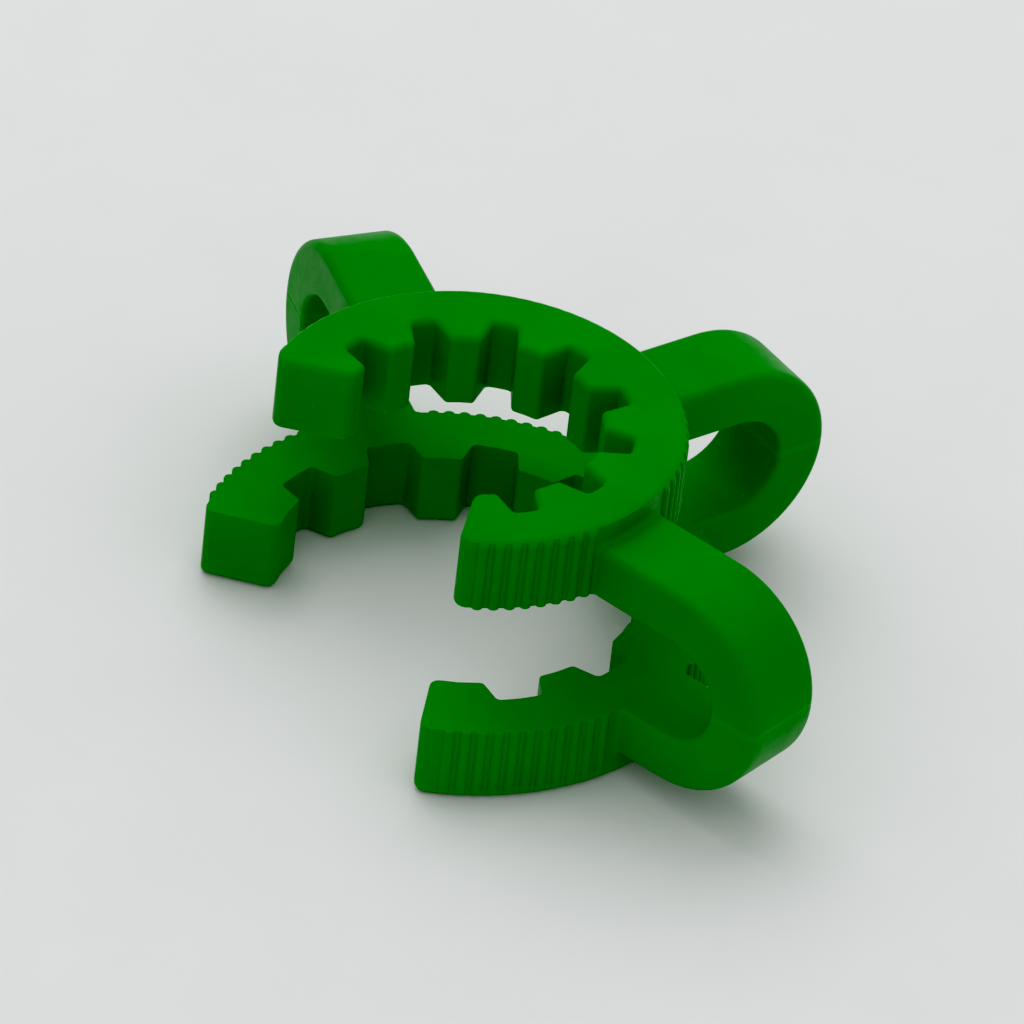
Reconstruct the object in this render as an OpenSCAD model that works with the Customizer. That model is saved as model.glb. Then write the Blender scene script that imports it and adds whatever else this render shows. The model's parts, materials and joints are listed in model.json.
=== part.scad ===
// Spring clip that holds a conical ground-glass joint together.
// Two toothed C-shaped rings are carried by three bow springs. The lower, larger ring grips
// the socket's body, the upper, smaller ring grips the cone's neck, and the glass rim sits
// in the gap between them. Millimetres, +Z up, mouths facing -Y.
// The origin is on the rings' common axis, in the plane that the clip stands on.

/* [Lower ring, for the socket] */
// Diameter between the lower ring's tooth tips
lower_bore_d = 28.3; // [24:0.1:34]
// Depth of a lower tooth, from its tip to the wall
lower_tooth_h = 2.15; // [1.4:0.05:2.6]
// Thickness of the lower ring's wall, ribs included
lower_wall = 4.2; // [3:0.1:4.8]
// Height of the lower ring
lower_h = 6.35; // [5:0.1:7.4]
// Angle from one lower tooth to the next
lower_pitch = 30.4; // [29:0.1:31]
// Width of a lower tooth across its tip
lower_tip_w = 3.05; // [2.4:0.05:3.6]
// Width of a lower tooth where it meets the wall
lower_root_w = 5.1; // [4:0.05:5.6]
// Width of the lower ring's mouth between the inner corners of its ends
lower_mouth_w = 21.2; // [19:0.1:23]
// Angle of the lower ring's end faces from straight ahead
lower_flare = 48; // [40:1:55]
// Lead-in cut on the inner corners of the lower ring's ends
lower_lead = 0.7; // [0.2:0.1:1]

/* [Upper ring, for the neck] */
// Diameter between the upper ring's tooth tips
upper_bore_d = 19.7; // [16:0.1:24]
// Depth of an upper tooth, from its tip to the wall
upper_tooth_h = 2.43; // [1.4:0.01:2.8]
// Thickness of the upper ring's wall, ribs included
upper_wall = 4.12; // [3:0.01:4.6]
// Height of the upper ring
upper_h = 6.35; // [5.3:0.05:7.7]
// Angle from one upper tooth to the next
upper_pitch = 30; // [29:0.1:31]
// Width of an upper tooth across its tip
upper_tip_w = 2.2; // [1.8:0.05:2.6]
// Width of an upper tooth where it meets the wall
upper_root_w = 4.5; // [3.6:0.05:4.8]
// Width of the upper ring's mouth between the inner corners of its ends
upper_mouth_w = 16.4; // [14:0.1:17]
// Angle of the upper ring's end faces from straight ahead
upper_flare = 45; // [38:1:52]
// Lead-in cut on the inner corners of the upper ring's ends
upper_lead = 0.15; // [0.1:0.05:0.8]

/* [Rim gap] */
// Height of the gap between the rings, which takes the glass rim
rim_gap = 8.4; // [7:0.1:10]

/* [Bow springs] */
// Width of a bow
bow_w = 7.2; // [5.8:0.1:8]
// Thickness of a bow
bow_t = 4.4; // [3.5:0.1:5]
// Distance from the rings' axis to the outermost point of the back bow
back_bow_reach = 31.6; // [29:0.1:40]
// Distance from the rings' axis to the outermost point of a side bow
side_bow_reach = 32.5; // [29:0.1:40]
// Rounding of a bow's long edges
bow_round = 0.7; // [0.2:0.1:1]
// Angle of a side bow above the line through the rings' axis
side_bow_angle = 14.5; // [8:0.5:22]

/* [Ribs and edges] */
// Height of the fine ribs on the rings' outer walls
rib_h = 0.3; // [0.15:0.05:0.4]
// Radius of a rib's rounded crest
rib_r = 0.48; // [0.4:0.02:0.55]
// Distance from one rib to the next along the wall
rib_pitch = 1.26; // [1.15:0.01:1.6]
// Rounding of the rings' outward-facing outer edges
edge_round = 0.7; // [0.2:0.1:1]

/* [Flexures] */
// Clearance between the moving sections of the moulding
flex_gap = 0.08; // [0.05:0.01:0.1]
// How far a flexure's barrel reaches past the lower ring's outer wall
lower_cover = 0.3; // [0.2:0.05:0.5]
// How far a flexure's barrel reaches past the upper ring's inner wall
upper_cover = 0.8; // [0.6:0.05:1]

/* [Hidden] */

moulding_green = "#0c7a1c";
$fn = 96;

// The lists below hold the lower ring's value first and the upper ring's second.
LOWER = 0;
UPPER = 1;
base_z = [0, lower_h + rim_gap];
ring_h = [lower_h, upper_h];
bore_r = [lower_bore_d / 2, upper_bore_d / 2];
root_r = [bore_r[LOWER] + lower_tooth_h, bore_r[UPPER] + upper_tooth_h];
outer_r = [root_r[LOWER] + lower_wall, root_r[UPPER] + upper_wall];
groove_r = [outer_r[LOWER] - rib_h, outer_r[UPPER] - rib_h];
pitch = [lower_pitch, upper_pitch];
tip_w = [lower_tip_w, upper_tip_w];
root_w = [lower_root_w, upper_root_w];
mouth_w = [lower_mouth_w, upper_mouth_w];
flare = [lower_flare, upper_flare];
lead = [lower_lead, upper_lead];
// A rib's distance from the bottom of its ring. The same two distances, the other way round,
// are what it keeps from the top.
rib_stop = [edge_round + rib_h / 2, rib_h / 2];

// The middle tooth points backwards, and this many stand on each side of it.
side_teeth = 4;
bow_angles = [90, side_bow_angle, 180 - side_bow_angle];
bow_reaches = [back_bow_reach, side_bow_reach, side_bow_reach];
bow_inner_r = rim_gap / 2;
bow_mid_r = bow_inner_r + bow_t / 2;
bow_centre_z = lower_h + rim_gap / 2;

// Both rings bend about one upright axis on each side, midway between their walls.
flex_axis_r = (root_r[LOWER] + outer_r[UPPER]) / 2;
flex_r = [
    outer_r[LOWER] - flex_axis_r + lower_cover,
    flex_axis_r - root_r[UPPER] + upper_cover
];
// Angle, seen from the rings' axis, between a flexure's axis and the place where its barrel
// crosses a ring's inner wall
function crossing(level) = acos(
    (root_r[level] ^ 2 + flex_axis_r ^ 2 - flex_r[level] ^ 2)
    / (2 * root_r[level] * flex_axis_r)
);
// Middle of the space between the second and third teeth, counted from the back
function split_angle(level) = 90 - 1.5 * pitch[level];
flex_angle = (split_angle(LOWER) + split_angle(UPPER) + crossing(LOWER) + crossing(UPPER)) / 2;

// Cut-outs reach this far past what they cut.
past = 1;
far = 3 * max(bow_reaches);
// A round surface starts and ends in the mouth, where it is cut away.
seam_angle = -90;

function polar(r, angle) = [r * cos(angle), r * sin(angle)];
// Half the angle that a bow covers on a ring's outer wall, with room for a rib beside it
function bow_cover(level) = asin((bow_w / 2 + rib_r) / outer_r[level]);
// The inner corner of a ring's right end, and the direction of its end face
function mouth_inner(level) = [mouth_w[level] / 2, -sqrt(bore_r[level] ^ 2 - (mouth_w[level] / 2) ^ 2)];
function end_direction(level) = [sin(flare[level]), -cos(flare[level])];
// Angle of the right end face at the outer wall, near enough to stop the ribs short of it
function end_angle(level) =
    let(p = mouth_inner(level) + (outer_r[level] - bore_r[level]) * end_direction(level))
    atan2(p[1], p[0]);

// A wedge about the rings' axis, from one angle to the other, through both rings
module wedge(from, to) {
    middle = (from + to) / 2;
    translate([0, 0, -past])
        linear_extrude(base_z[UPPER] + ring_h[UPPER] + 2 * past)
            polygon([[0, 0], polar(far, from), polar(far * 1.5, middle), polar(far, to)]);
}

// A disc as large as a ring's wall between its ribs, with its outer edge rounded on the side
// that faces away from the other ring
module wall_disc(level) {
    r = groove_r[level];
    h = ring_h[level];
    translate([0, 0, base_z[level] + (level == LOWER ? h : 0)])
        mirror([0, 0, level == LOWER ? 1 : 0])
            rotate([0, 0, seam_angle])
                rotate_extrude() {
                    square([r - edge_round, h]);
                    square([r, h - edge_round]);
                    translate([r - edge_round, h - edge_round]) circle(edge_round);
                }
}

// The fine upright ribs of a ring. They stop short of its rounded edge and of its flat face,
// and are left out where the bows leave its wall.
module ribs(level) {
    step = rib_pitch / outer_r[level] * 180 / PI;
    count = floor((90 - end_angle(level)) / step - 1.5);
    for (i = [0 : count], side = [0, 1]) {
        angle = 90 - (i + 0.5) * step;
        clear = [for (bow = bow_angles) if (abs(angle - bow) < bow_cover(level)) bow];
        if (len(clear) == 0)
            mirror([side, 0, 0])
                rotate([0, 0, angle])
                    translate([outer_r[level] - rib_r, 0, base_z[level] + rib_stop[level]])
                        cylinder(
                            h = ring_h[level] - rib_stop[LOWER] - rib_stop[UPPER],
                            r = rib_r, $fn = 24
                        );
    }
}

// One tooth along +X. An end tooth runs on past the end of its ring, on its clockwise side.
module tooth(level, runs_on) {
    tip = bore_r[level] - past;
    root = root_r[level] + past / 2;
    slope = (root_w[level] - tip_w[level]) / 2 / (root_r[level] - bore_r[level]);
    tip_half = tip_w[level] / 2 - slope * past;
    root_half = root_w[level] / 2;
    back_half = runs_on ? root_w[level] * 1.5 : root_half;
    translate([0, 0, base_z[level] - past])
        linear_extrude(ring_h[level] + 2 * past)
            polygon([
                [tip, runs_on ? -back_half : -tip_half], [root_r[level], -back_half],
                [root, -back_half], [root, root_half], [root_r[level], root_half], [tip, tip_half]
            ]);
}

// All the teeth of a ring
module teeth(level) {
    for (i = [0 : side_teeth], side = [0, 1])
        if (i > 0 || side == 0)
            mirror([side, 0, 0])
                rotate([0, 0, 90 - i * pitch[level]])
                    tooth(level, i == side_teeth);
}

// The open mouth of a ring, with the lead-in cuts at its inner corners
module mouth(level) {
    inner = mouth_inner(level);
    outer = inner + far * end_direction(level);
    shelf = polar(bore_r[level], atan2(inner[1], inner[0]) + lead[level] / bore_r[level] * 180 / PI);
    throat = inner + end_direction(level) * lead[level];
    translate([0, 0, base_z[level] - past])
        linear_extrude(ring_h[level] + 2 * past)
            polygon([
                [-shelf[0], shelf[1]], [-throat[0], throat[1]], [-outer[0], outer[1]],
                outer, throat, shelf
            ]);
}

// A cylinder through a ring
module ring_bore(level, r) {
    translate([0, 0, base_z[level] - past])
        rotate([0, 0, seam_angle])
            cylinder(h = ring_h[level] + 2 * past, r = r);
}

// A whole toothed C-shaped ring, before it is divided at its flexures
module ring(level) {
    difference() {
        union() {
            wall_disc(level);
            ribs(level);
        }
        difference() {
            ring_bore(level, root_r[level]);
            teeth(level);
        }
        ring_bore(level, bore_r[level]);
        mouth(level);
    }
}

// The space of a ring's back section. Its two barrels turn in the hollow ends of the jaws.
module back_zone(level, clearance) {
    wedge(flex_angle, 180 - flex_angle);
    for (side = [0, 1])
        mirror([side, 0, 0])
            translate([each polar(flex_axis_r, flex_angle), base_z[level] - past])
                cylinder(h = ring_h[level] + 2 * past, r = flex_r[level] + clearance);
    intersection() {
        wedge(split_angle(level), 180 - split_angle(level));
        translate([0, 0, base_z[level] - past])
            cylinder(h = ring_h[level] + 2 * past, r = root_r[level] - rib_h / 2);
    }
}

module ring_back(level) {
    color(moulding_green)
        intersection() {
            ring(level);
            back_zone(level, 0);
        }
}

module jaw(level, side) {
    color(moulding_green)
        intersection() {
            difference() {
                ring(level);
                back_zone(level, flex_gap);
            }
            translate([side > 0 ? 0 : -far, -far, -past]) cube([far, 2 * far, far]);
        }
}

// A bow's section: a rectangle with rounded corners, as thick as the bow and as wide
module bow_section() {
    square([bow_t - 2 * bow_round, bow_w], center = true);
    square([bow_t, bow_w - 2 * bow_round], center = true);
    for (x = [-1, 1], y = [-1, 1])
        translate([x * (bow_t / 2 - bow_round), y * (bow_w / 2 - bow_round)])
            circle(bow_round, $fn = 32);
}

// Half a bow along +X: a straight leg from the ring's wall and a quarter turn to the crown.
// The leg ends on a wall of radius wall_r.
module bow_half(level, wall_r, reach) {
    bow_centre = reach - bow_inner_r - bow_t;
    translate([0, 0, bow_centre_z])
        mirror([0, 0, level == LOWER ? 1 : 0])
            difference() {
                union() {
                    translate([bow_centre, 0, 0])
                        rotate([90, 0, 0])
                            rotate_extrude(angle = 90) translate([bow_mid_r, 0]) bow_section();
                    translate([wall_r / 2, 0, bow_mid_r])
                        rotate([90, 0, 90])
                            linear_extrude(bow_centre - wall_r / 2) rotate([0, 0, 90]) bow_section();
                }
                cylinder(h = far, r = wall_r);
            }
}

// The lower legs and the back bow's upper leg stand on their own ring's wall. A side bow's
// upper leg moves beside the upper jaw, a clearance away from it.
module bow_leg(level, bow) {
    beside = level == UPPER && bow > 0;
    color(moulding_green)
        rotate([0, 0, bow_angles[bow]])
            bow_half(level, groove_r[level] + (beside ? flex_gap : 0), bow_reaches[bow]);
}

module lower_ring_back() ring_back(LOWER);
module lower_right_jaw() jaw(LOWER, 1);
module lower_left_jaw() jaw(LOWER, -1);
module upper_ring_back() ring_back(UPPER);
module upper_right_jaw() jaw(UPPER, 1);
module upper_left_jaw() jaw(UPPER, -1);
module back_bow_lower_leg() bow_leg(LOWER, 0);
module back_bow_upper_leg() bow_leg(UPPER, 0);
module right_bow_lower_leg() bow_leg(LOWER, 1);
module right_bow_upper_leg() bow_leg(UPPER, 1);
module left_bow_lower_leg() bow_leg(LOWER, 2);
module left_bow_upper_leg() bow_leg(UPPER, 2);

lower_ring_back();
lower_right_jaw();
lower_left_jaw();
upper_ring_back();
upper_right_jaw();
upper_left_jaw();
back_bow_lower_leg();
back_bow_upper_leg();
right_bow_lower_leg();
right_bow_upper_leg();
left_bow_lower_leg();
left_bow_upper_leg();
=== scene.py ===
"""Looks of the spring clip for a conical glass joint: two toothed rings and three bow springs.

Every piece stands for one section of the moulding. The rings are cut into a back and two jaws,
and each bow into two halves that meet at its crown. Metres, +Z up, mouths facing -Y.
"""

import json
import math

import bmesh
import bpy
from bpy.props import FloatProperty, FloatVectorProperty, PointerProperty
from bpy.types import Operator, Panel, PropertyGroup
from mathutils import Matrix, Vector


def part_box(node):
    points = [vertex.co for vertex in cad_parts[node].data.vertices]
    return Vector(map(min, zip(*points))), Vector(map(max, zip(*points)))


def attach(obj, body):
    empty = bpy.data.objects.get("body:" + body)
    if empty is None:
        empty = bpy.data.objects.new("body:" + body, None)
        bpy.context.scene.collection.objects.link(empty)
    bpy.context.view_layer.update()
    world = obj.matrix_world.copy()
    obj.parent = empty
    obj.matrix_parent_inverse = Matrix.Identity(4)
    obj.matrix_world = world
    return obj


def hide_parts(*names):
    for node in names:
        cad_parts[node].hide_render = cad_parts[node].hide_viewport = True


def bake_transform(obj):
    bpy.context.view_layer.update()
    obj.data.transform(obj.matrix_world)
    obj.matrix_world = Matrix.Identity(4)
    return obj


bl_info = {
    "name": "Glass joint clip",
    "version": (1, 0, 0),
    "blender": (4, 5, 0),
    "location": "3D View > Sidebar > Joint Clip",
    "description": "Models the toothed rings and bow springs of a moulded glass joint clip",
    "category": "Object",
}

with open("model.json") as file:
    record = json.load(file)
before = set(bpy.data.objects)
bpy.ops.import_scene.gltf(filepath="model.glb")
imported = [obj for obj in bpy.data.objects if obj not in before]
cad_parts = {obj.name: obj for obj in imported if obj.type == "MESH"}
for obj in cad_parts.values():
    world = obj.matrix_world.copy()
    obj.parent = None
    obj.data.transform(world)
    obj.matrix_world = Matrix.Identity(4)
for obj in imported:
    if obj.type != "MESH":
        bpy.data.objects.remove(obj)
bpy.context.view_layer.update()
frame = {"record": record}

MM = 0.001
RIGHT, LEFT = 1, -1
QUARTER_TURN = math.pi / 2
# Angle, seen from the rings' axis, that the back of the clip lies at
BACK_ANGLE = QUARTER_TURN

# Segments of a rounded corner, of a rounded edge, of a crisp edge and of a quarter turn
CORNER_SEGMENTS = 5
ROUND_STEPS = 7
CRISP_STEPS = 2
TURN_STEPS = 28
# Segments of a bow's rounded long edges, and cuts across its flat sides
BOW_EDGE_SEGMENTS = 6
FLAT_SIDE_CUTS = 9
# Edges that turn by more than this stay crisp in the shading.
CRISP_ANGLE = math.radians(38)
# Sine of the turn under which a corner counts as straight
NEARLY_STRAIGHT = 0.2
# Points closer together than this are one.
SAME_POINT = 1e-7
# How far inside a wall a bow's fillet ends, and how far a leg's flush side lies under the
# ring's face there and at the leg's end
WALL_ENTRY = 0.2 * MM
SKIN = 0.004 * MM
DEEP_SKIN = 0.1 * MM


# ---------------------------------------------------------------- sizes taken from the frame


def tooth_circle(mount):
    """Radius between the tooth tips, in millimetres, that the record gives for a ring's mount."""
    found = next(m for m in frame["record"]["mounts"] if m["name"] == mount)
    return found["dims"]["r_mm"]


def ring_levels(node):
    """Heights of a ring's bottom and top faces."""
    low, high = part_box(node)
    return low.z, high.z


LOWER_LEVELS = ring_levels("lower_ring_back")
UPPER_LEVELS = ring_levels("upper_ring_back")
# The crowns of the bows are halfway between the rings' facing sides.
CROWN_Z = (LOWER_LEVELS[1] + UPPER_LEVELS[0]) / 2
BOW_INNER_RADIUS = (UPPER_LEVELS[0] - LOWER_LEVELS[1]) / 2
BOW_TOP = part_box("back_bow_upper_leg")[1].z


def length(name, about, millimetres):
    return FloatProperty(
        name=name, description=about, default=millimetres * MM, min=0.0, unit="LENGTH", precision=5
    )


def angle(name, about, degrees):
    return FloatProperty(
        name=name, description=about, default=math.radians(degrees), subtype="ANGLE"
    )


def factor(name, about, share):
    return FloatProperty(
        name=name, description=about, default=share, min=0.0, max=1.0, subtype="FACTOR"
    )


def colour(name, about, linear):
    return FloatVectorProperty(
        name=name, description=about, default=linear, size=3, min=0.0, max=1.0, subtype="COLOR"
    )


class LowerRingSizes(PropertyGroup):
    """Sizes of the larger ring, which grips the socket"""

    bore: length("Tooth circle", "Radius between the tooth tips", tooth_circle("socket_ring"))
    tooth: length("Tooth depth", "From a tooth's tip to the wall", 2.15)
    wall: length("Wall", "Thickness of the wall, ribs included", 4.2)
    pitch: angle("Pitch", "Angle from one tooth to the next", 30.4)
    tip: length("Tip width", "Width of a tooth across its tip", 3.05)
    root: length("Root width", "Width of a tooth where it meets the wall", 5.1)
    mouth: length("Mouth", "Width between the inner corners of the ends", 21.2)
    flare: angle("Flare", "Angle of the end faces from straight ahead", 48)
    end_round: length("End rounding", "Rounding of the ends' outer upright edges", 0.8)
    lip_round: length("Lip rounding", "Rounding of the ends' inner upright edges", 0.8)
    tip_round: length("Tip rounding", "Rounding of a tooth's upright edges", 0.42)
    root_round: length("Root rounding", "Rounding beside a tooth, on the wall", 0.45)
    low_wall: length("Bottom rounding", "Rounding of the wall's bottom edge", 1.0)
    low_teeth: length("Tooth bottoms", "Rounding of the teeth's bottom edges", 0.8)
    top_wall: length("Top bevel", "Rounding of the wall's top edge", 0.13)
    top_teeth: length("Tooth tops", "Rounding of the teeth's top edges", 0.12)


class UpperRingSizes(PropertyGroup):
    """Sizes of the smaller ring, which grips the neck"""

    bore: length("Tooth circle", "Radius between the tooth tips", tooth_circle("neck_ring"))
    tooth: length("Tooth depth", "From a tooth's tip to the wall", 2.43)
    wall: length("Wall", "Thickness of the wall, ribs included", 4.12)
    pitch: angle("Pitch", "Angle from one tooth to the next", 30)
    tip: length("Tip width", "Width of a tooth across its tip", 2.2)
    root: length("Root width", "Width of a tooth where it meets the wall", 4.5)
    mouth: length("Mouth", "Width between the inner corners of the ends", 16.4)
    flare: angle("Flare", "Angle of the end faces from straight ahead", 45)
    end_round: length("End rounding", "Rounding of the ends' outer upright edges", 1.0)
    lip_round: length("Lip rounding", "Rounding of the ends' inner upright edges", 0.95)
    tip_round: length("Tip rounding", "Rounding of a tooth's upright edges", 0.42)
    root_round: length("Root rounding", "Rounding beside a tooth, on the wall", 0.4)
    low_wall: length("Bottom bevel", "Rounding of the wall's bottom edge", 0.25)
    low_teeth: length("Tooth bottoms", "Rounding of the teeth's bottom edges", 0.28)
    top_wall: length("Top rounding", "Rounding of the wall's top edge", 0.75)
    top_teeth: length("Tooth tops", "Rounding of the teeth's top edges", 0.55)


class RibSizes(PropertyGroup):
    """Sizes of the fine upright ribs on both rings' outer walls"""

    height: length("Height", "How far a rib stands out of the wall", 0.3)
    crest: length("Crest", "Radius of a rib's rounded crest", 0.48)
    pitch: length("Pitch", "Distance from one rib to the next", 1.26)


class BowSizes(PropertyGroup):
    """Sizes of the bow springs"""

    width: length("Width", "Width of a bow", 7.2)
    back_reach: length("Back reach", "From the axis to the back bow's outermost point", 31.6)
    side_reach: length("Side reach", "From the axis to a side bow's outermost point", 32.5)
    side_angle: angle("Side angle", "Angle of a side bow above the line through the axis", 14.5)
    outer_round: length("Outer rounding", "Rounding of the long edges on the outside", 0.75)
    inner_round: length("Inner rounding", "Rounding of the long edges on the inside", 0.4)
    fillet: length("Fillet", "Fillet where a leg meets its ring", 0.45)
    overlap: length("Overlap", "How far a leg reaches into its ring's wall", 0.5)
    seam_width: length("Seam width", "Half the width of the mould's parting line", 0.13)
    seam_depth: length("Seam depth", "Depth of the mould's parting line", 0.035)


class PlasticFinish(PropertyGroup):
    """Colour and surface of the moulded plastic"""

    green: colour("Green", "Colour of the plastic", (0.0012, 0.235, 0.0018))
    deep_green: colour("Deep green", "Its darker flow marks", (0.0008, 0.195, 0.0014))
    dust: colour("Dust", "Colour of the fine specks on it", (0.16, 0.42, 0.2))
    roughness: factor("Roughness", "How satin the surface is", 0.42)


class StageSizes(PropertyGroup):
    """The floor, the lights and the camera"""

    floor: colour("Floor", "Colour of the floor", (0.79, 0.79, 0.785))
    azimuth: angle("Azimuth", "Where the camera stands, round from the front", 52.1)
    elevation: angle("Elevation", "How high the camera stands", 36.47)
    roll: angle("Roll", "Turn of the camera about its line of sight", 6.84)
    distance: length("Distance", "From the camera to what it looks at", 736)
    lens: FloatProperty(
        name="Lens", description="Focal length", default=336.6, unit="CAMERA", min=1.0
    )
    aim: FloatVectorProperty(
        name="Aim",
        description="The point that the camera looks at",
        default=(-1.96 * MM, 6.19 * MM, 8.35 * MM),
        subtype="TRANSLATION",
    )


# ---------------------------------------------------------------- shaping helpers


def polar(radius, turn):
    return Vector((radius * math.cos(turn), radius * math.sin(turn)))


def inward(direction):
    """The side that the plastic is on, for an outline that runs clockwise."""
    return Vector((direction.y, -direction.x))


def round_inset(radius, depth):
    """How far a rounded edge has drawn in, at a depth below the face that it rounds into."""
    if depth >= radius:
        return 0.0
    return radius - math.sqrt(max(radius**2 - (radius - depth) ** 2, 0.0))


def round_depths(radius, steps):
    """Depths of the rows of points on a rounded edge, from the face down."""
    return [radius * (1 - math.cos(QUARTER_TURN * i / steps)) for i in range(steps + 1)]


def inset_corner(before, corner, after, fillet, inset_before, inset_after, segments):
    """Points of one corner, after its two edges have moved inwards and its fillet with them."""
    arriving = (corner - before).normalized()
    leaving = (after - corner).normalized()
    side_a, side_b = inward(arriving), inward(leaving)
    turn = arriving.x * leaving.y - arriving.y * leaving.x
    if abs(turn) < NEARLY_STRAIGHT:
        shift = (side_a + side_b) / (1 + side_a.dot(side_b))
        moved = corner + shift * (inset_before + inset_after) / 2
    else:
        moved = corner + Vector((
            (inset_before * side_b.y - inset_after * side_a.y) / turn,
            (inset_after * side_a.x - inset_before * side_b.x) / turn,
        ))
    if segments == 0:
        return [moved]
    convex = turn < 0
    inset = (inset_before + inset_after) / 2
    radius = max(fillet - inset, 0.0) if convex else fillet + inset
    bend = math.acos(max(-1.0, min(1.0, arriving.dot(leaving))))
    start = moved - arriving * radius * math.tan(bend / 2)
    centre = start + side_a * (radius if convex else -radius)
    spoke = start - centre
    sweep = -bend if convex else bend
    return [
        centre + Matrix.Rotation(sweep * i / segments, 2) @ spoke for i in range(segments + 1)
    ]


def grow(bm, face, keep=False):
    """Extrudes a face in place, and returns the new one. The old one goes, unless it is kept."""
    grown = bmesh.ops.extrude_face_region(bm, geom=[face])["geom"]
    if not keep and face.is_valid:
        bmesh.ops.delete(bm, geom=[face], context="FACES_ONLY")
    return next(g for g in grown if isinstance(g, bmesh.types.BMFace))


def finish_mesh(bm, name, crisp=()):
    """Closes a piece's mesh, sets its shading and makes it an object at the origin."""
    bmesh.ops.remove_doubles(bm, verts=bm.verts, dist=SAME_POINT)
    bmesh.ops.dissolve_degenerate(bm, edges=bm.edges, dist=SAME_POINT)
    bmesh.ops.recalc_face_normals(bm, faces=bm.faces)
    for face in bm.faces:
        face.smooth = True
    for edge in bm.edges:
        edge.smooth = edge.calc_face_angle(0.0) < CRISP_ANGLE
    for edge in crisp:
        if edge.is_valid:
            edge.smooth = False
    mesh = bpy.data.meshes.new(name)
    bm.to_mesh(mesh)
    bm.free()
    piece = bpy.data.objects.new(name, mesh)
    bpy.context.scene.collection.objects.link(piece)
    even = piece.modifiers.new("Even shading", "WEIGHTED_NORMAL")
    even.keep_sharp = True
    mesh.materials.append(moulded_plastic())
    return piece


def stand_for(node):
    """Hides a CAD node, for a piece to show in its place."""
    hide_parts(node)


# ---------------------------------------------------------------- materials


def add_node(tree, kind, inputs=None, **settings):
    node = tree.nodes.new(kind)
    for key, value in settings.items():
        setattr(node, key, value)
    for key, value in (inputs or {}).items():
        node.inputs[key].default_value = value
    return node


def remap(tree, source, low, high, to_low, to_high):
    """A value between two limits, stretched onto two others and held there beyond them."""
    node = add_node(tree, "ShaderNodeMapRange", {
        "From Min": low, "From Max": high, "To Min": to_low, "To Max": to_high
    })
    tree.links.new(source, node.inputs["Value"])
    return node.outputs["Result"]


def noise(tree, place, scale, detail, roughness=0.5):
    node = add_node(tree, "ShaderNodeTexNoise", {
        "Scale": scale, "Detail": detail, "Roughness": roughness
    })
    tree.links.new(place, node.inputs["Vector"])
    return node.outputs["Fac"]


def mix_colour(tree, share, first, second):
    """A mix of two colours, each of them a socket or a colour."""
    node = add_node(tree, "ShaderNodeMix", data_type="RGBA")
    tree.links.new(share, node.inputs["Factor"])
    for key, value in (("A", first), ("B", second)):
        socket = next(s for s in node.inputs if s.name == key and s.type == "RGBA")
        if isinstance(value, bpy.types.NodeSocket):
            tree.links.new(value, socket)
        else:
            socket.default_value = (*value, 1.0)
    return next(s for s in node.outputs if s.type == "RGBA")


def add_bump(tree, height, strength, distance, below=None):
    node = add_node(tree, "ShaderNodeBump", {"Strength": strength, "Distance": distance})
    tree.links.new(height, node.inputs["Height"])
    if below:
        tree.links.new(below, node.inputs["Normal"])
    return node.outputs["Normal"]


def moulded_plastic():
    """Green moulded plastic: satin, with faint flow marks, a fine skin, painted highlights along
    its rounded edges and dust.
    """
    name = "moulded_green_plastic"
    if name in bpy.data.materials:
        return bpy.data.materials[name]
    finish = bpy.context.scene.clip_finish
    material = bpy.data.materials.new(name)
    material.use_nodes = True
    tree = material.node_tree
    shader = tree.nodes["Principled BSDF"]
    place = add_node(tree, "ShaderNodeTexCoord").outputs["Object"]
    # Painted highlight: a paler green along the rounded edges and the bows' crown seam, where
    # highlights fall
    edge_highlight = add_node(tree, "ShaderNodeAttribute", attribute_name="edge_highlight").outputs["Fac"]

    flow = remap(tree, noise(tree, place, 90.0, 3.0), 0.35, 0.65, 0.0, 1.0)
    body = mix_colour(tree, flow, finish.deep_green, finish.green)
    # Mixes in the painted highlight colour, at most about a third of the way
    highlight_share = remap(tree, edge_highlight, 0.0, 1.0, 0.0, 0.35)
    highlight_colour = [channel * 1.25 + 0.004 for channel in finish.green]
    with_highlight = mix_colour(tree, highlight_share, body, highlight_colour)
    cells = add_node(tree, "ShaderNodeTexVoronoi", {"Scale": 330.0, "Randomness": 1.0})
    tree.links.new(place, cells.inputs["Vector"])
    speck = remap(tree, cells.outputs["Distance"], 0.012, 0.022, 1.0, 0.0)
    tree.links.new(mix_colour(tree, speck, with_highlight, finish.dust), shader.inputs["Base Color"])

    skin = noise(tree, place, 1500.0, 4.0, 0.6)
    patches = noise(tree, place, 260.0, 2.0)
    rough = add_node(tree, "ShaderNodeMath", operation="ADD")
    tree.links.new(remap(tree, patches, 0.3, 0.7, -0.05, 0.05), rough.inputs[0])
    base_rough = finish.roughness
    tree.links.new(
        remap(tree, skin, 0.3, 0.7, base_rough - 0.04, base_rough + 0.06), rough.inputs[1]
    )
    tree.links.new(rough.outputs["Value"], shader.inputs["Roughness"])

    grain = add_bump(tree, noise(tree, place, 6000.0, 2.0), 0.25, 0.012 * MM)
    peel = add_bump(tree, skin, 0.3, 0.03 * MM, grain)
    waves = add_bump(tree, noise(tree, place, 170.0, 1.0), 0.25, 0.35 * MM, peel)
    tree.links.new(waves, shader.inputs["Normal"])

    shader.inputs["IOR"].default_value = 1.48
    shader.inputs["Specular IOR Level"].default_value = 0.16
    shader.inputs["Specular Tint"].default_value = (0.1, 0.7, 0.2, 1.0)
    shader.inputs["Subsurface Weight"].default_value = 0.06
    shader.inputs["Subsurface Radius"].default_value = (0.1, 1.0, 0.15)
    shader.inputs["Subsurface Scale"].default_value = 0.5 * MM
    return material


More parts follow.
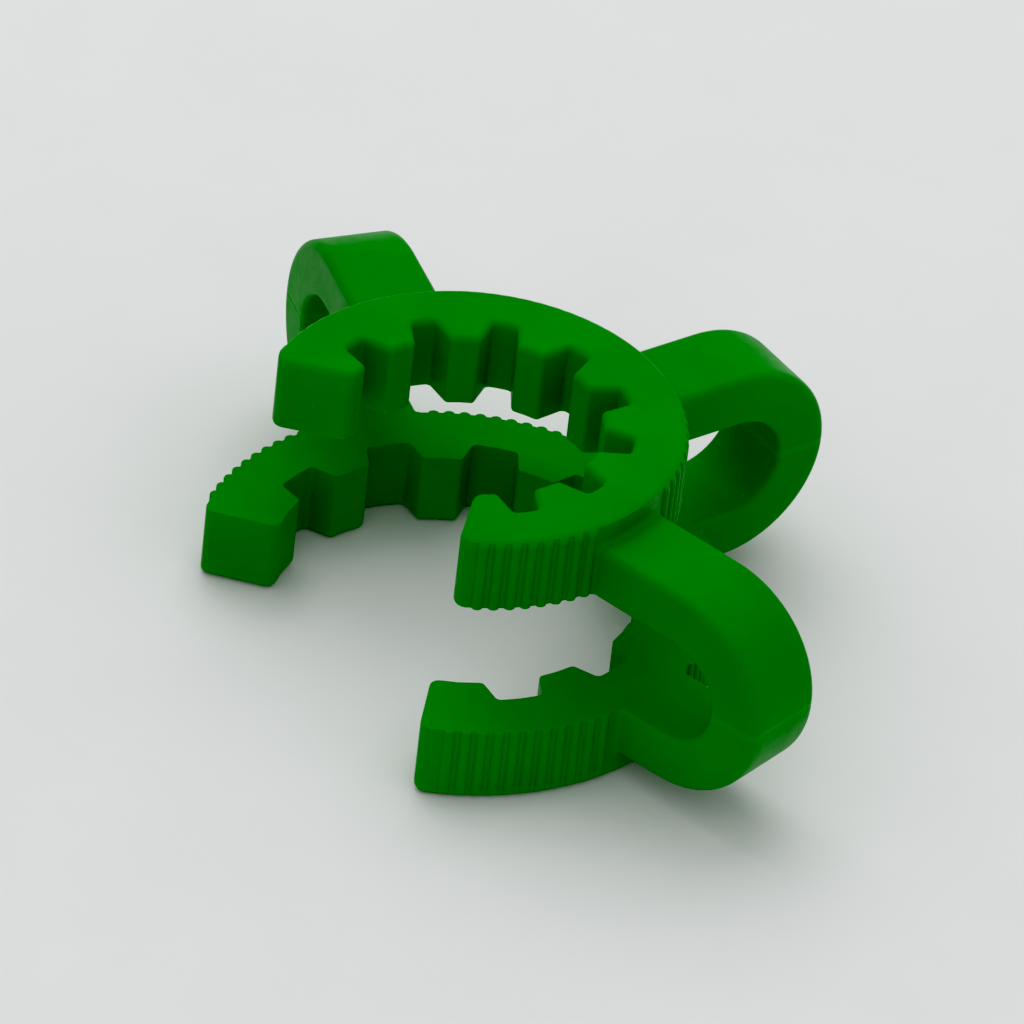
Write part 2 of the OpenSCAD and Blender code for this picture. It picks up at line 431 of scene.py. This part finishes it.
def matt_board(colour_of_floor):
    """The pale board that the clip stands on, very slightly mottled."""
    material = bpy.data.materials.new("matt_board")
    material.use_nodes = True
    tree = material.node_tree
    shader = tree.nodes["Principled BSDF"]
    place = add_node(tree, "ShaderNodeTexCoord").outputs["Object"]
    mottle = remap(tree, noise(tree, place, 55.0, 4.0, 0.6), 0.3, 0.7, 0.0, 1.0)
    shaded = [channel * 0.975 for channel in colour_of_floor]
    tree.links.new(mix_colour(tree, mottle, shaded, colour_of_floor), shader.inputs["Base Color"])
    tooth = add_bump(tree, noise(tree, place, 1800.0, 3.0), 0.15, 0.05 * MM)
    tree.links.new(tooth, shader.inputs["Normal"])
    shader.inputs["Roughness"].default_value = 0.85
    shader.inputs["Specular IOR Level"].default_value = 0.15
    return material


# ---------------------------------------------------------------- the toothed rings


def wall_radius(sizes):
    """Radius of a ring's outer wall, at the crests of its ribs."""
    return sizes.bore + sizes.tooth + sizes.wall


def mouth_corner(sizes):
    """The inner corner of a ring's right end."""
    x = sizes.mouth / 2
    return Vector((x, -math.sqrt(sizes.bore**2 - x**2)))


def end_corner(sizes, groove):
    """The outer corner of a ring's right end, where its end face meets the wall."""
    inner = mouth_corner(sizes)
    along = Vector((math.sin(sizes.flare), -math.cos(sizes.flare)))
    half = inner.dot(along)
    reach = -half + math.sqrt(half**2 - inner.dot(inner) + groove**2)
    return inner + along * reach


def bow_turns():
    side = bpy.context.scene.clip_bows.side_angle
    return {"back": BACK_ANGLE, "right": side, "left": math.pi - side}


def wall_profile(sizes, groove):
    """Angle and rib height of each point on the right half of a wall, from the back to its end."""
    ribs = bpy.context.scene.clip_ribs
    outer = wall_radius(sizes)
    step = ribs.pitch / outer
    sunk = ribs.crest - ribs.height
    half_foot = math.sqrt(ribs.crest**2 - sunk**2)
    cover = math.asin((bpy.context.scene.clip_bows.width / 2 + ribs.crest) / outer)
    corner = end_corner(sizes, groove)
    last = math.atan2(corner.y, corner.x) + (sizes.end_round + half_foot) / groove
    points = [(BACK_ANGLE, 0.0)]
    turn = BACK_ANGLE - step / 2
    while turn - half_foot / outer > last:
        bare = any(abs(turn - bow) < cover for bow in bow_turns().values())
        for share in (-1.0, -0.8, -0.45, 0.0, 0.45, 0.8, 1.0):
            across = share * half_foot
            height = 0.0 if bare else math.sqrt(ribs.crest**2 - across**2) - sunk
            points.append((turn - across / outer, height))
        points.append((turn - step / 2, 0.0))
        turn -= step
    return points[:-1]


def tooth_row(sizes):
    """Corners of the right half of a ring's inside, from its end to the middle tooth's centre.

    Each is a point, its fillet and its number of segments.
    """
    wall = sizes.bore + sizes.tooth
    tip_half = math.asin(sizes.tip / 2 / sizes.bore)
    root_half = math.asin(sizes.root / 2 / wall)
    inner = mouth_corner(sizes)
    first_turn = math.atan2(inner.y, inner.x)
    corners = [(inner, sizes.lip_round, CORNER_SEGMENTS)]
    for i in (4, 3, 2, 1, 0):
        turn = BACK_ANGLE - i * sizes.pitch
        if i < 4:
            corners.append((polar(wall, turn - root_half), sizes.root_round, CORNER_SEGMENTS))
            corners.append((polar(sizes.bore, turn - tip_half), sizes.tip_round, CORNER_SEGMENTS))
            corners.append((polar(sizes.bore, turn), 0.0, 0))
        else:
            halfway = (first_turn + turn + tip_half) / 2
            corners.append((polar(sizes.bore, halfway), 0.0, 0))
        if i > 0:
            corners.append((polar(sizes.bore, turn + tip_half), sizes.tip_round, CORNER_SEGMENTS))
            corners.append((polar(wall, turn + root_half), sizes.root_round, CORNER_SEGMENTS))
            corners.append((polar(wall, turn + sizes.pitch / 2), 0.0, 0))
    return corners


def ring_outline(sizes, from_bottom, from_top):
    """A ring's outline at one height, clockwise from the back of its wall."""
    ribs = bpy.context.scene.clip_ribs
    outer = wall_radius(sizes)
    groove = outer - ribs.height
    wall_inset = round_inset(sizes.low_wall, from_bottom) + round_inset(sizes.top_wall, from_top)
    inset = round_inset(sizes.low_teeth, from_bottom) + round_inset(sizes.top_teeth, from_top)
    envelope = outer - wall_inset
    rounding = sizes.low_wall if from_bottom < from_top else sizes.top_wall
    crisp_rim = rounding < ribs.height
    groove_inset = wall_inset if crisp_rim else max(groove - envelope, 0.0)

    half = []
    for turn, height in wall_profile(sizes, groove):
        radius = groove + height - wall_inset if crisp_rim else min(groove + height, envelope)
        half.append(polar(radius, turn))

    corner = end_corner(sizes, groove)
    arriving = Vector((corner.y, -corner.x))
    chain = [(corner, sizes.end_round, CORNER_SEGMENTS)] + tooth_row(sizes)
    mirrored_tooth = Vector((-chain[-2][0].x, chain[-2][0].y))
    places = [corner - arriving] + [c[0] for c in chain] + [mirrored_tooth]
    for i, (place, fillet, segments) in enumerate(chain):
        inset_before = groove_inset if i == 0 else inset
        half += inset_corner(
            places[i], place, places[i + 2], fillet, inset_before, inset, segments
        )
    return half + [Vector((-p.x, p.y)) for p in reversed(half[1:-1])]


def ring_slices(sizes, bottom, top):
    """Heights of a ring's rows of points, with their distances from its two faces."""
    low = max(sizes.low_wall, sizes.low_teeth)
    high = max(sizes.top_wall, sizes.top_teeth)
    crisp = bpy.context.scene.clip_ribs.height
    low_rows = round_depths(low, CRISP_STEPS if low < crisp else ROUND_STEPS)
    high_rows = round_depths(high, CRISP_STEPS if high < crisp else ROUND_STEPS)
    heights = [bottom + d for d in low_rows] + [top - d for d in reversed(high_rows)]
    return [(z, z - bottom, top - z) for z in heights]


def whole_ring(sizes, bottom, top):
    """A whole C-shaped ring with its ribs and teeth, grown upwards row by row."""
    bm = bmesh.new()
    order = bm.verts.layers.int.new("order")
    # Share of painted highlight on each point of the ring's rounded edges
    edge_highlight = bm.verts.layers.float.new("edge_highlight")
    low = max(sizes.low_wall, sizes.low_teeth)
    high = max(sizes.top_wall, sizes.top_teeth)
    cap = None
    slices = ring_slices(sizes, bottom, top)
    first_row = slices[1][1]
    for z, from_bottom, from_top in slices:
        outline = ring_outline(sizes, from_bottom, from_top)
        if cap is None:
            corners = [bm.verts.new((0.0, 0.0, 0.0)) for _ in outline]
            for i, corner in enumerate(corners):
                corner[order] = i
            cap = bm.faces.new(corners)
        else:
            cap = grow(bm, cap, keep=from_bottom == first_row)
        # Painted highlight: strongest midway round each rounded edge, none on the flat faces
        highlight_weight = max(1 - abs(2 * from_bottom / low - 1), 1 - abs(2 * from_top / high - 1), 0.0)
        for corner in cap.verts:
            corner.co = (*outline[corner[order]], z)
            corner[edge_highlight] = highlight_weight
    bmesh.ops.remove_doubles(bm, verts=bm.verts, dist=SAME_POINT)
    return bm


def seam_turn(sizes):
    """Angle of the right-hand seam: the groove nearest the middle of the space beside the tooth."""
    step = bpy.context.scene.clip_ribs.pitch / wall_radius(sizes)
    return BACK_ANGLE - round(sizes.pitch / 2 / step) * step


def cut_at(bm, turn, side):
    """Cuts a ring at a seam and closes the cut. What lies clockwise of the plane goes."""
    normal = Vector((math.sin(turn), -math.cos(turn), 0.0)) * side
    cut = bmesh.ops.bisect_plane(
        bm,
        geom=bm.verts[:] + bm.edges[:] + bm.faces[:],
        dist=SAME_POINT,
        plane_co=(0.0, 0.0, 0.0),
        plane_no=normal,
        clear_outer=True,
    )["geom_cut"]
    edges = [g for g in cut if isinstance(g, bmesh.types.BMEdge)]
    bmesh.ops.holes_fill(bm, edges=edges, sides=0)
    return edges


def ring_pieces(level, sizes, levels):
    """The back and the two jaws of a ring, cut from one whole ring."""
    whole = whole_ring(sizes, *levels)
    seam = seam_turn(sizes)
    mirrored_seam = math.pi - seam

    back = whole.copy()
    crisp = cut_at(back, seam, 1) + cut_at(back, mirrored_seam, -1)
    back_piece = finish_mesh(back, f"{level}_ring_saddle", crisp)
    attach(back_piece, f"{level}_back")
    stand_for(f"{level}_ring_back")

    for side, word, plane_turn in ((RIGHT, "right", seam), (LEFT, "left", mirrored_seam)):
        jaw = whole.copy()
        crisp = cut_at(jaw, plane_turn, -side)
        piece = finish_mesh(jaw, f"{level}_{word}_arm", crisp)
        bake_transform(piece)
        stand_for(f"{level}_{word}_jaw")
    whole.free()


# ---------------------------------------------------------------- the bow springs


def bow_section(bm, sizes, centre, middle, thick):
    """A bow's section at its crown: a rectangle with rounded corners, in points close together."""
    made = bmesh.ops.create_grid(bm, x_segments=1, y_segments=1, size=0.5)["verts"]
    bmesh.ops.scale(bm, vec=(thick, sizes.width, 1.0), verts=made)
    bmesh.ops.translate(bm, vec=(centre + middle, 0.0, 0.0), verts=made)
    outside = [v for v in made if v.co.x > centre + middle]
    inside = [v for v in made if v not in outside]
    for corners, radius in ((outside, sizes.outer_round), (inside, sizes.inner_round)):
        bmesh.ops.bevel(
            bm, geom=corners, offset=radius, offset_type="OFFSET", segments=BOW_EDGE_SEGMENTS,
            profile=0.5, affect="VERTICES", material=-1,
        )
    flat_sides = [e for e in bm.edges if e.calc_length() > sizes.outer_round + sizes.inner_round]
    bmesh.ops.subdivide_edges(bm, edges=flat_sides, cuts=FLAT_SIDE_CUTS)
    return bm.faces[:]


def bow_half(sizes, wall, reach):
    """The upper half of a bow along +X, its crown at height 0 and its leg's end in a wall."""
    thick = BOW_TOP - CROWN_Z - BOW_INNER_RADIUS
    middle = BOW_INNER_RADIUS + thick / 2
    centre = reach - BOW_INNER_RADIUS - thick
    bm = bmesh.new()
    order = bm.verts.layers.int.new("order")
    section = bow_section(bm, sizes, centre, middle, thick)
    spun = bmesh.ops.spin(
        bm, geom=bm.verts[:] + bm.edges[:] + section, cent=(centre, 0.0, 0.0),
        axis=(0.0, -1.0, 0.0), angle=QUARTER_TURN, steps=TURN_STEPS,
    )["geom_last"]
    face = next(g for g in spun if isinstance(g, bmesh.types.BMFace))

    # Each row is a distance from the wall, how much wider the fillet makes the leg there, and
    # how far the flush side has sunk out of the ring's face.
    rows = [(5 * sizes.fillet, 0.0, 0.0)]
    for depth in reversed(round_depths(sizes.fillet, CORNER_SEGMENTS)):
        rows.append((depth, round_inset(sizes.fillet, depth), 0.0))
    rows.append((-WALL_ENTRY, sizes.fillet, SKIN))
    rows.append((-sizes.overlap, 0.0, DEEP_SKIN))
    flush = BOW_INNER_RADIUS
    shape = None
    for away, wider, sunk in rows:
        face = grow(bm, face)
        if shape is None:
            for i, corner in enumerate(face.verts):
                corner[order] = i
            shape = [corner.co.copy() for corner in face.verts]
        for corner in face.verts:
            across = shape[corner[order]].y * (1 + 2 * wider / sizes.width)
            above = (shape[corner[order]].z - flush) * (1 + wider / thick)
            corner.co = (math.sqrt((wall + away) ** 2 - across**2), across, flush + above + sunk)

    bmesh.ops.bisect_plane(
        bm, geom=bm.verts[:] + bm.edges[:] + bm.faces[:], dist=SAME_POINT,
        plane_co=(0.0, 0.0, sizes.seam_width), plane_no=(0.0, 0.0, 1.0),
    )
    crown = [v for v in bm.verts if abs(v.co.z) < SAME_POINT]
    shrink = (1 - 2 * sizes.seam_depth / thick, 1 - 2 * sizes.seam_depth / sizes.width, 1.0)
    about = Matrix.Translation((-centre - middle, 0.0, 0.0))
    bmesh.ops.scale(bm, vec=shrink, space=about, verts=crown)
    # Painted highlight along the crown's parting line
    edge_highlight = bm.verts.layers.float.new("edge_highlight")
    for corner in bm.verts:
        corner[edge_highlight] = 1.0 if abs(corner.co.z) < 2 * sizes.seam_width else 0.0
    return bm


def bow(word, lower_body, upper_body):
    """Both halves of one bow, which meet at the crown."""
    sizes = bpy.context.scene.clip_bows
    rings = (bpy.context.scene.clip_lower_ring, bpy.context.scene.clip_upper_ring)
    ribs = bpy.context.scene.clip_ribs
    reach = sizes.back_reach if word == "back" else sizes.side_reach
    turned = Matrix.Rotation(bow_turns()[word], 4, "Z")
    lifted = Matrix.Translation((0.0, 0.0, CROWN_Z))
    for level, ring, up in (("lower", rings[0], -1), ("upper", rings[1], 1)):
        bm = bow_half(sizes, wall_radius(ring) - ribs.height, reach)
        bmesh.ops.transform(bm, matrix=Matrix.Diagonal((1.0, 1.0, up, 1.0)), verts=bm.verts)
        bmesh.ops.transform(bm, matrix=lifted @ turned, verts=bm.verts)
        piece = finish_mesh(bm, f"{word}_bow_{level}_half")
        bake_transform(piece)
        stand_for(f"{word}_bow_{level}_leg")


# ---------------------------------------------------------------- the stage


def soft_light(name, place, size, power, tint=(1.0, 1.0, 1.0)):
    data = bpy.data.lights.new(name, "AREA")
    data.shape = "DISK"
    data.size = size
    data.energy = power
    data.color = tint
    light = bpy.data.objects.new(name, data)
    light.location = place
    light.rotation_mode = "QUATERNION"
    light.rotation_quaternion = Vector(place).to_track_quat("Z", "Y")
    bpy.context.scene.collection.objects.link(light)


def studio_air(low, high):
    """Very slightly cool light from all round: dim from the sides, brighter from above."""
    world = bpy.data.worlds.new("Studio")
    world.use_nodes = True
    tree = world.node_tree
    background = tree.nodes["Background"]
    background.inputs["Color"].default_value = (0.97, 0.99, 1.0, 1.0)
    direction = add_node(tree, "ShaderNodeTexCoord").outputs["Generated"]
    split = add_node(tree, "ShaderNodeSeparateXYZ")
    tree.links.new(direction, split.inputs["Vector"])
    tree.links.new(
        remap(tree, split.outputs["Z"], 0.0, 1.0, low, high), background.inputs["Strength"]
    )
    bpy.context.scene.world = world


def strong_greens(view):
    """Drops the faintest light from the picture, most of all the red and the blue."""
    view.use_curve_mapping = True
    view.curve_mapping.black_level = (0.032, 0.022, 0.032)
    view.curve_mapping.update()


def floor(stage):
    bm = bmesh.new()
    bmesh.ops.create_grid(bm, x_segments=4, y_segments=4, size=1.5)
    mesh = bpy.data.meshes.new("floor")
    bm.to_mesh(mesh)
    bm.free()
    board = bpy.data.objects.new("floor", mesh)
    bpy.context.scene.collection.objects.link(board)
    mesh.materials.append(matt_board(stage.floor))


def camera(stage):
    aim = Vector(stage.aim)
    flat = math.cos(stage.elevation)
    back = Vector((
        math.sin(stage.azimuth) * flat, -math.cos(stage.azimuth) * flat, math.sin(stage.elevation)
    ))
    right = Vector((0.0, 0.0, 1.0)).cross(back).normalized()
    axes = Matrix((right, back.cross(right), back)).transposed()
    data = bpy.data.cameras.new("camera")
    data.sensor_width = 36.0
    data.lens = stage.lens
    data.clip_start = 0.01
    data.clip_end = 20.0
    eye = bpy.data.objects.new("camera", data)
    eye.matrix_world = (
        Matrix.Translation(aim + back * stage.distance)
        @ axes.to_4x4()
        @ Matrix.Rotation(stage.roll, 4, "Z")
    )
    bpy.context.scene.collection.objects.link(eye)
    bpy.context.scene.camera = eye


# ---------------------------------------------------------------- operators and panel


class CLIP_OT_lower_ring(Operator):
    """Model the larger ring: its back and its two springy arms"""

    bl_idname = "clip.lower_ring"
    bl_label = "Lower Ring"

    def execute(self, context):
        ring_pieces("lower", context.scene.clip_lower_ring, LOWER_LEVELS)
        return {"FINISHED"}


class CLIP_OT_upper_ring(Operator):
    """Model the smaller ring: its back and its two springy arms"""

    bl_idname = "clip.upper_ring"
    bl_label = "Upper Ring"

    def execute(self, context):
        ring_pieces("upper", context.scene.clip_upper_ring, UPPER_LEVELS)
        return {"FINISHED"}


class CLIP_OT_back_bow(Operator):
    """Model the back bow spring"""

    bl_idname = "clip.back_bow"
    bl_label = "Back Bow"

    def execute(self, context):
        bow("back", "lower_back", "upper_back")
        return {"FINISHED"}


class CLIP_OT_side_bows(Operator):
    """Model the two side bow springs"""

    bl_idname = "clip.side_bows"
    bl_label = "Side Bows"

    def execute(self, context):
        for word in ("right", "left"):
            bow(word, f"lower_{word}", f"{word}_bow_top")
        return {"FINISHED"}


class CLIP_OT_stage(Operator):
    """Set up the floor, the lights and the camera"""

    bl_idname = "clip.stage"
    bl_label = "Stage"

    def execute(self, context):
        stage = context.scene.clip_stage
        context.scene.view_settings.view_transform = "Standard"
        strong_greens(context.scene.view_settings)
        floor(stage)
        studio_air(0.5, 0.76)
        soft_light("overhead", (-0.5, 0.25, 1.1), 1.2, 5.8)
        camera(stage)
        return {"FINISHED"}


SIZE_GROUPS = {
    "clip_lower_ring": (LowerRingSizes, "Lower ring"),
    "clip_upper_ring": (UpperRingSizes, "Upper ring"),
    "clip_ribs": (RibSizes, "Ribs"),
    "clip_bows": (BowSizes, "Bows"),
    "clip_finish": (PlasticFinish, "Finish"),
    "clip_stage": (StageSizes, "Stage"),
}
OPERATORS = (
    CLIP_OT_stage,
    CLIP_OT_lower_ring,
    CLIP_OT_upper_ring,
    CLIP_OT_back_bow,
    CLIP_OT_side_bows,
)


class CLIP_PT_sizes(Panel):
    """Sizes of the clip, and a button for each of its pieces"""

    bl_label = "Glass Joint Clip"
    bl_idname = "CLIP_PT_sizes"
    bl_space_type = "VIEW_3D"
    bl_region_type = "UI"
    bl_category = "Joint Clip"

    def draw(self, context):
        for operator in OPERATORS:
            self.layout.operator(operator.bl_idname)
        for key, (group, label) in SIZE_GROUPS.items():
            box = self.layout.box()
            box.label(text=label)
            for field in group.__annotations__:
                box.prop(getattr(context.scene, key), field)


def register():
    for key, (group, _) in SIZE_GROUPS.items():
        bpy.utils.register_class(group)
        setattr(bpy.types.Scene, key, PointerProperty(type=group))
    for part in (*OPERATORS, CLIP_PT_sizes):
        bpy.utils.register_class(part)


def unregister():
    for part in (CLIP_PT_sizes, *reversed(OPERATORS)):
        bpy.utils.unregister_class(part)
    for key, (group, _) in reversed(SIZE_GROUPS.items()):
        delattr(bpy.types.Scene, key)
        bpy.utils.unregister_class(group)


def main():
    register()
    bpy.ops.clip.stage()
    bpy.ops.clip.lower_ring()
    bpy.ops.clip.upper_ring()
    bpy.ops.clip.back_bow()
    bpy.ops.clip.side_bows()


if __name__ == "__main__":
    main()
